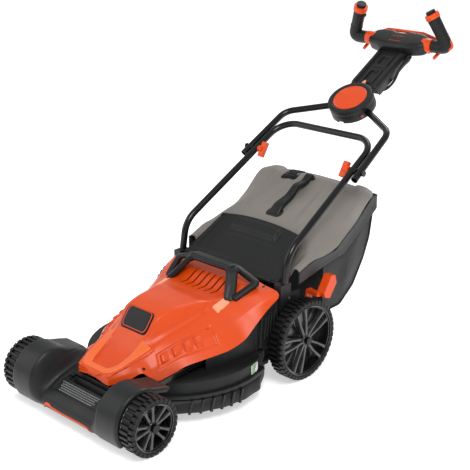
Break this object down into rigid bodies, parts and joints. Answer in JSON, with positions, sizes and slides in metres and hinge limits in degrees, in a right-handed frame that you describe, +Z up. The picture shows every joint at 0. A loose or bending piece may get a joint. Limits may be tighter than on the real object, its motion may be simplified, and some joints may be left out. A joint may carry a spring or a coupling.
{
  "type": "push lawn mower",
  "caption": "Walk-behind electric rotary mower with rear grass bag, height lever, folding tubular handle and twin-grip swivel head.",
  "frame": {"origin": "bottom centre of the bounding box, on the ground between the wheels on the centre plane", "axes": "+Z up from the ground, +Y rearwards towards the person pushing, +X to that person's right"},
  "size_m": [0.496, 1.3418, 0.8813],
  "materials": {
    "hood_orange": "glossy moulded ABS, safety orange",
    "trim_orange": "glossy moulded ABS trim, safety orange",
    "deck_black": "textured black polypropylene",
    "cowl_black": "fine satin texture black polypropylene",
    "comb_black": "black polypropylene comb",
    "badge_black": "gloss black inlay with satin rim",
    "scale_plate": "pale printed scale plate",
    "motor_metal": "cast motor can",
    "shaft_steel": "ground steel",
    "blade_steel": "black e-coated spring steel, bare cutting edge",
    "fan_plastic": "moulded nylon fan",
    "tyre_black": "hard moulded black tread",
    "rim_black": "moulded black polypropylene rim",
    "cap_grey": "satin black hub cap",
    "crank_steel": "black powder coated steel",
    "handle_black": "glossy black moulded handle",
    "lever_orange": "moulded orange lever",
    "flap_black": "satin black polypropylene flap",
    "bracket_black": "satin black nylon bracket",
    "tube_black": "gloss black powder coated steel tube",
    "knob_orange": "moulded orange nylon wing nut",
    "hub_black": "satin black moulded housing",
    "button_red": "dark red push button",
    "disc_orange": "gloss orange disc with a bright rim",
    "grip_black": "soft black thermoplastic rubber",
    "bail_orange": "gloss orange moulded lever",
    "cord_black": "black rubber mains lead",
    "plug_black": "moulded black plug",
    "bag_mesh": "coarse black woven polyester mesh",
    "bag_rim": "dark grey moulded rim",
    "bag_lid": "warm grey moulded cover",
    "bag_handle": "black moulded handle",
    "bag_window": "black louvred level window",
    "screw_steel": "zinc plated screw"
  },
  "bodies": {
    "deck": {"deck_shell": "deck_black", "rear_chute": "deck_black", "edge_combs": "comb_black", "front_cowl": "cowl_black", "cowl_trim": "trim_orange", "motor_hood": "hood_orange", "hood_badge": "badge_black", "carry_handle": "handle_black", "height_scale": "scale_plate", "motor_can": "motor_metal", "axle_clamps": "bracket_black", "flap_pin": "shaft_steel", "flap_springs": "shaft_steel", "handle_brackets": "bracket_black", "lower_handle": "tube_black", "fold_bolts": "shaft_steel", "case_screws": "screw_steel"},
    "cutter": {"motor_shaft": "shaft_steel", "cooling_fan": "fan_plastic", "blade_carrier": "fan_plastic", "blade": "blade_steel", "blade_bolt": "shaft_steel"},
    "front_crank": {"front_axle_crank": "crank_steel", "front_wheel_caps": "cap_grey"},
    "rear_crank": {"rear_axle_crank": "crank_steel", "rear_wheel_caps": "cap_grey", "height_lever": "lever_orange"},
    "link": {"height_link": "crank_steel"},
    "front_left_wheel": {"front_left_tyre": "tyre_black", "front_left_rim": "rim_black"},
    "front_right_wheel": {"front_right_tyre": "tyre_black", "front_right_rim": "rim_black"},
    "rear_left_wheel": {"rear_left_tyre": "tyre_black", "rear_left_rim": "rim_black"},
    "rear_right_wheel": {"rear_right_tyre": "tyre_black", "rear_right_rim": "rim_black"},
    "flap": {"rear_flap": "flap_black"},
    "bag": {"bag_fabric": "bag_mesh", "bag_rim": "bag_rim", "bag_lid": "bag_lid", "bag_handle": "bag_handle", "bag_window": "bag_window"},
    "upper_handle": {"upper_tubes": "tube_black", "hub_housing": "hub_black"},
    "swivel_lock": {"swivel_button": "button_red"},
    "left_nut": {"left_wing_nut": "knob_orange"},
    "right_nut": {"right_wing_nut": "knob_orange"},
    "stem": {"stem_shell": "hub_black", "hub_disc": "disc_orange", "switch_box": "hub_black", "grip_collars": "trim_orange", "hand_grips": "grip_black", "grip_rings": "trim_orange", "grip_caps": "grip_black", "cord_relief": "cord_black", "lead": "cord_black", "plug": "plug_black"},
    "left_button": {"left_start_button": "grip_black"},
    "right_button": {"right_start_button": "grip_black"},
    "bail": {"bail_lever": "bail_orange"}
  },
  "joints": [
    {"name": "blade_spin", "type": "hinge", "parent": "deck", "child": "cutter", "pos_m": [0, -0.2971, 0.1], "axis": [0, 0, 1], "continuous": true},
    {"name": "height_adjust", "type": "hinge", "parent": "deck", "child": "rear_crank", "pos_m": [0, -0.0091, 0.108], "axis": [1, 0, 0], "range_deg": [-30, 30]},
    {"name": "front_crank_turn", "type": "hinge", "parent": "deck", "child": "front_crank", "pos_m": [0, -0.5431, 0.072], "axis": [1, 0, 0], "range_deg": [-30, 30]},
    {"name": "link_swing", "type": "hinge", "parent": "rear_crank", "child": "link", "pos_m": [0, -0.0091, 0.148], "axis": [1, 0, 0], "range_deg": [-30, 30]},
    {"name": "front_left_wheel_spin", "type": "hinge", "parent": "front_crank", "child": "front_left_wheel", "pos_m": [-0.222, -0.5931, 0.072], "axis": [1, 0, 0], "continuous": true},
    {"name": "front_right_wheel_spin", "type": "hinge", "parent": "front_crank", "child": "front_right_wheel", "pos_m": [0.222, -0.5931, 0.072], "axis": [1, 0, 0], "continuous": true},
    {"name": "rear_left_wheel_spin", "type": "hinge", "parent": "rear_crank", "child": "rear_left_wheel", "pos_m": [-0.222, -0.0591, 0.108], "axis": [1, 0, 0], "continuous": true},
    {"name": "rear_right_wheel_spin", "type": "hinge", "parent": "rear_crank", "child": "rear_right_wheel", "pos_m": [0.222, -0.0591, 0.108], "axis": [1, 0, 0], "continuous": true},
    {"name": "flap_open", "type": "hinge", "parent": "deck", "child": "flap", "pos_m": [0, -0.1011, 0.258], "axis": [1, 0, 0], "range_deg": [0, 70], "stiffness_Nm_per_rad": 0.5, "springref_deg": -40.11},
    {"name": "bag_lift_off", "type": "slide", "parent": "deck", "child": "bag", "axis": [0, 1, 0], "range_m": [0, 0.3]},
    {"name": "handle_fold", "type": "hinge", "parent": "deck", "child": "upper_handle", "pos_m": [0, 0.1929, 0.497], "axis": [1, 0, 0], "range_deg": [0, 155]},
    {"name": "left_nut_turn", "type": "hinge", "parent": "deck", "child": "left_nut", "pos_m": [-0.15, 0.1929, 0.497], "axis": [-1, 0, 0], "range_deg": [0, 360]},
    {"name": "right_nut_turn", "type": "hinge", "parent": "deck", "child": "right_nut", "pos_m": [0.15, 0.1929, 0.497], "axis": [1, 0, 0], "range_deg": [0, 360]},
    {"name": "stem_swivel", "type": "hinge", "parent": "upper_handle", "child": "stem", "pos_m": [0, 0.4059, 0.6245], "axis": [0, -0.5105, 0.8599], "range_deg": [-30, 30]},
    {"name": "swivel_release", "type": "slide", "parent": "upper_handle", "child": "swivel_lock", "axis": [-0.848, 0.4557, 0.2705], "range_m": [0, 0.003], "stiffness_N_per_m": 800, "springref_m": -0.004},
    {"name": "bail_squeeze", "type": "hinge", "parent": "stem", "child": "bail", "pos_m": [0, 0.65413, 0.75095], "axis": [1, 0, 0], "range_deg": [-10, 0], "stiffness_Nm_per_rad": 2, "springref_deg": 11.46},
    {"name": "left_start", "type": "slide", "parent": "stem", "child": "left_button", "axis": [-1, 0, 0], "range_m": [0, 0.003], "stiffness_N_per_m": 500, "springref_m": -0.004},
    {"name": "right_start", "type": "slide", "parent": "stem", "child": "right_button", "axis": [1, 0, 0], "range_m": [0, 0.003], "stiffness_N_per_m": 500, "springref_m": -0.004}
  ],
  "couplings": [
    {"joint": "front_crank_turn", "follows": "height_adjust", "ratio": 1},
    {"joint": "link_swing", "follows": "height_adjust", "ratio": -1}
  ]
}
